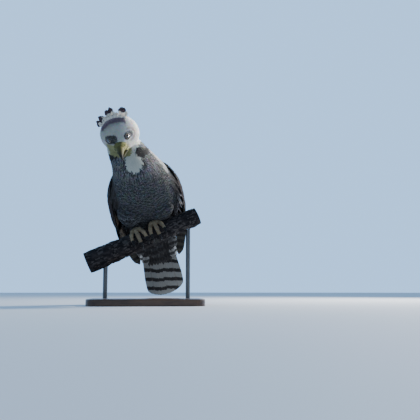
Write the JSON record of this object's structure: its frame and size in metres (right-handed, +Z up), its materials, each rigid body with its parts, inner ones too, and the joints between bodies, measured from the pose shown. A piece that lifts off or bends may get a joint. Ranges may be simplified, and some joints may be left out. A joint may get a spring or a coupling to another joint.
{
  "type": "black hawk-eagle model on a perch",
  "caption": "Life-size still model of an immature black hawk-eagle, crest raised and head bowed, gripping a cut length of sloping branch held by rods over a flat base.",
  "frame": {"origin": "centre of the underside of the stand's base, on the surface that it rests on", "axes": "+Z up; the bird faces -Y, its left side is at +X, its tail runs back along +Y"},
  "size_m": [0.3172, 0.4493, 0.5029],
  "materials": {
    "head_plumage": "soft, matt white feathers with dark face and crest tips",
    "body_plumage": "soft, matt feathers, blackish with white streaks and fine bars",
    "wing_plumage": "smooth, slightly glossy blackish brown feathers",
    "tail_plumage": "smooth feathers, barred black and grey",
    "thigh_plumage": "soft, matt black feathers with white bars",
    "foot_skin": "dry, scaled yellow skin",
    "cere_skin": "waxy olive yellow skin",
    "bill_horn": "polished dark horn",
    "claw_horn": "polished black horn",
    "eye_surface": "wet, glossy",
    "bark": "rough dark bark",
    "base_wood": "satin dark stained wood",
    "rod_metal": "satin dark metal"
  },
  "bodies": {
    "root": {"head": "head_plumage", "neck": "head_plumage", "torso": "body_plumage", "wing_left": "wing_plumage", "wing_right": "wing_plumage", "tail": "tail_plumage", "thigh_left": "thigh_plumage", "thigh_right": "thigh_plumage", "foot_left": "foot_skin", "foot_right": "foot_skin", "cere": "cere_skin", "bill_upper": "bill_horn", "bill_lower": "bill_horn", "eye_left": "eye_surface", "eye_right": "eye_surface", "perch": "bark", "stand_base": "base_wood", "stand_rod_left": "rod_metal", "stand_rod_right": "rod_metal", "claw_left_1": "claw_horn", "claw_left_2": "claw_horn", "claw_left_3": "claw_horn", "claw_left_4": "claw_horn", "claw_right_1": "claw_horn", "claw_right_2": "claw_horn", "claw_right_3": "claw_horn", "claw_right_4": "claw_horn"}
  },
  "joints": []
}
